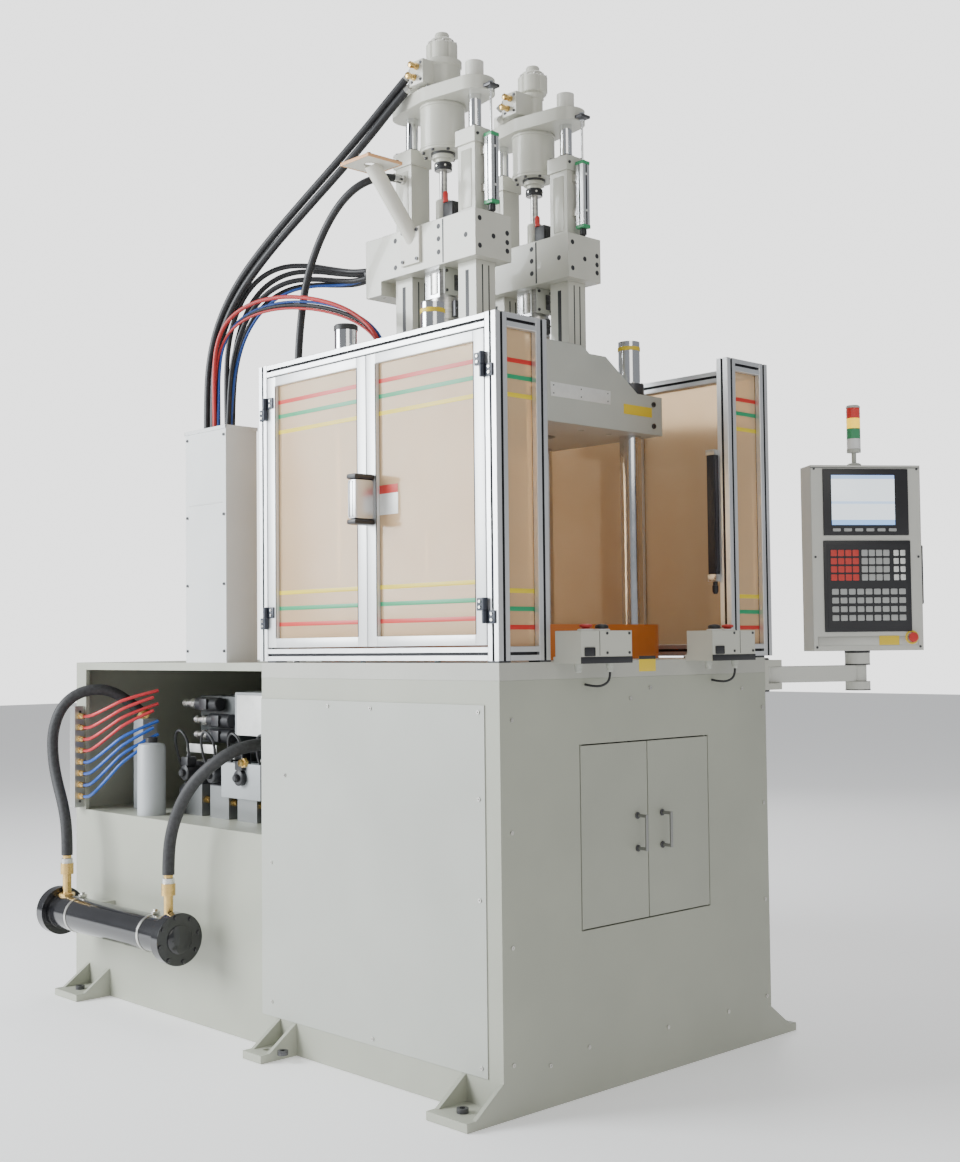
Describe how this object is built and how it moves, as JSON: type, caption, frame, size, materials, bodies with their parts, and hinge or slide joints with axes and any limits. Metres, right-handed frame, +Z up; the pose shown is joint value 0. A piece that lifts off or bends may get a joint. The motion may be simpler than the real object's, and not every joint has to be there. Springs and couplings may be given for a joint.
{
  "type": "injection moulding machine",
  "caption": "Vertical injection moulding machine with two plasticising units over a guarded clamp, swing-arm control panel and oil cooler.",
  "frame": {"origin": "on the floor at the centre of the four corner anchor bolts", "axes": "+X along the front to the right as the operator sees it, +Y towards the back, +Z up; the front faces -Y"},
  "size_m": [2.0644, 2.649, 3.328],
  "materials": {
    "machine_paint": "semi-gloss textured paint, warm light grey",
    "cabinet_white": "satin white paint",
    "platen_paint": "satin grey paint on a casting",
    "orange_paint": "gloss orange paint",
    "chrome": "ground and hard chromed",
    "dark_steel": "machined and oiled",
    "unit_paint": "gloss off-white paint",
    "barrel_steel": "stainless heater bands",
    "profile": "natural anodised",
    "amber_pane": "tinted clear sheet",
    "control_grey": "fine textured paint",
    "black_plastic": "moulded",
    "red_plastic": "moulded",
    "lamp_plastic": "lamp lenses",
    "gloss_black": "gloss black enamel",
    "brass": "turned",
    "hose_rubber": "wrapped cover",
    "manifold_steel": "machined blocks",
    "tube_plastic": "extruded"
  },
  "bodies": {
    "base": {"base_frame": "machine_paint", "body_panels": "machine_paint", "table_plate": "machine_paint", "duct_column": "cabinet_white", "lower_platen": "orange_paint", "clamp_cylinder": "dark_steel", "guard_frame": "profile", "guard_panes": "amber_pane", "two_hand_boxes": "control_grey", "arm_bracket": "machine_paint", "oil_cooler": "gloss_black", "cooler_fittings": "brass", "cooler_hose_rear": "hose_rubber", "cooler_hose_front": "hose_rubber", "water_manifold": "manifold_steel", "water_fittings": "brass", "water_tubes": "tube_plastic", "oil_pump": "gloss_black", "valve_stack": "manifold_steel", "motor_hoses": "hose_rubber", "cylinder_hose": "hose_rubber", "carriage_cables": "hose_rubber", "platen_cables": "hose_rubber"},
    "moving_platen": {"upper_platen": "platen_paint", "tie_bars": "chrome", "crosshead": "dark_steel", "guide_columns_left": "unit_paint", "guide_columns_right": "unit_paint"},
    "carriage_left": {"lift_rods_left": "chrome", "carriage_block_left": "unit_paint", "injection_cylinders_left": "unit_paint", "barrel_left": "barrel_steel", "feed_chute_left": "unit_paint"},
    "yoke_left": {"drive_yoke_left": "unit_paint", "yoke_rods_left": "chrome", "hydraulic_motor_left": "unit_paint"},
    "screw_left": {"screw_left": "dark_steel"},
    "carriage_right": {"lift_rods_right": "chrome", "carriage_block_right": "unit_paint", "injection_cylinders_right": "unit_paint", "barrel_right": "barrel_steel"},
    "yoke_right": {"drive_yoke_right": "unit_paint", "yoke_rods_right": "chrome", "hydraulic_motor_right": "unit_paint"},
    "screw_right": {"screw_right": "dark_steel"},
    "side_door_front": {"guard_door_front": "profile", "guard_door_front_pane": "amber_pane"},
    "side_door_rear": {"guard_door_rear": "profile", "guard_door_rear_pane": "amber_pane"},
    "cabinet_door_left": {"access_door_left": "machine_paint"},
    "palm_left": {"palm_button_left": "black_plastic"},
    "stop_left": {"stop_button_left": "red_plastic"},
    "cabinet_door_right": {"access_door_right": "machine_paint"},
    "palm_right": {"palm_button_right": "black_plastic"},
    "stop_right": {"stop_button_right": "red_plastic"},
    "arm": {"swing_arm": "control_grey"},
    "panel": {"panel_knuckle": "control_grey", "panel_housing": "control_grey", "signal_tower": "lamp_plastic"},
    "stop_panel": {"stop_button_panel": "red_plastic"}
  },
  "joints": [
    {"name": "clamp_slide", "type": "slide", "parent": "base", "child": "moving_platen", "axis": [0, 0, -1], "range_m": [0, 0.35], "deforming": ["motor_hoses", "cylinder_hose", "carriage_cables", "platen_cables"]},
    {"name": "unit_lift_left", "type": "slide", "parent": "moving_platen", "child": "carriage_left", "axis": [0, 0, 1], "range_m": [0, 0.2], "deforming": ["motor_hoses", "cylinder_hose", "carriage_cables"]},
    {"name": "injection_stroke_left", "type": "slide", "parent": "carriage_left", "child": "yoke_left", "axis": [0, 0, -1], "range_m": [0, 0.09], "deforming": ["motor_hoses"]},
    {"name": "screw_spin_left", "type": "hinge", "parent": "yoke_left", "child": "screw_left", "pos_m": [-0.2215, -0.499, 2.7], "axis": [0, 0, 1], "continuous": true},
    {"name": "unit_lift_right", "type": "slide", "parent": "moving_platen", "child": "carriage_right", "axis": [0, 0, 1], "range_m": [0, 0.2]},
    {"name": "injection_stroke_right", "type": "slide", "parent": "carriage_right", "child": "yoke_right", "axis": [0, 0, -1], "range_m": [0, 0.09]},
    {"name": "screw_spin_right", "type": "hinge", "parent": "yoke_right", "child": "screw_right", "pos_m": [0.2065, -0.499, 2.7], "axis": [0, 0, 1], "continuous": true},
    {"name": "side_door_front_hinge", "type": "hinge", "parent": "base", "child": "side_door_front", "pos_m": [-0.624, -1.097, 1.742], "axis": [0, 0, 1], "range_deg": [0, 110]},
    {"name": "side_door_rear_hinge", "type": "hinge", "parent": "base", "child": "side_door_rear", "pos_m": [-0.624, -0.051, 1.742], "axis": [0, 0, 1], "range_deg": [-110, 0]},
    {"name": "cabinet_door_left_hinge", "type": "hinge", "parent": "base", "child": "cabinet_door_left", "pos_m": [-0.283, -1.136, 0.74], "axis": [0, 0, 1], "range_deg": [-110, 0]},
    {"name": "cabinet_door_right_hinge", "type": "hinge", "parent": "base", "child": "cabinet_door_right", "pos_m": [0.291, -1.136, 0.74], "axis": [0, 0, 1], "range_deg": [0, 110]},
    {"name": "arm_swing", "type": "hinge", "parent": "base", "child": "arm", "pos_m": [0.685, -1.084, 1.19], "axis": [0, 0, 1], "range_deg": [-50, 60]},
    {"name": "panel_swivel", "type": "hinge", "parent": "arm", "child": "panel", "pos_m": [1.015, -1.244, 1.19], "axis": [0, 0, 1], "range_deg": [-60, 60]},
    {"name": "palm_button_left_press", "type": "slide", "parent": "base", "child": "palm_left", "axis": [0, 0, -1], "range_m": [0, 0.005], "stiffness_N_per_m": 1600},
    {"name": "stop_button_left_press", "type": "slide", "parent": "base", "child": "stop_left", "axis": [0, 0, -1], "range_m": [0, 0.005], "stiffness_N_per_m": 1600},
    {"name": "palm_button_right_press", "type": "slide", "parent": "base", "child": "palm_right", "axis": [0, 0, -1], "range_m": [0, 0.005], "stiffness_N_per_m": 1600},
    {"name": "stop_button_right_press", "type": "slide", "parent": "base", "child": "stop_right", "axis": [0, 0, -1], "range_m": [0, 0.005], "stiffness_N_per_m": 1600},
    {"name": "stop_button_panel_press", "type": "slide", "parent": "panel", "child": "stop_panel", "axis": [0.592, 0.8059, 0], "range_m": [0, 0.005], "stiffness_N_per_m": 1600}
  ]
}
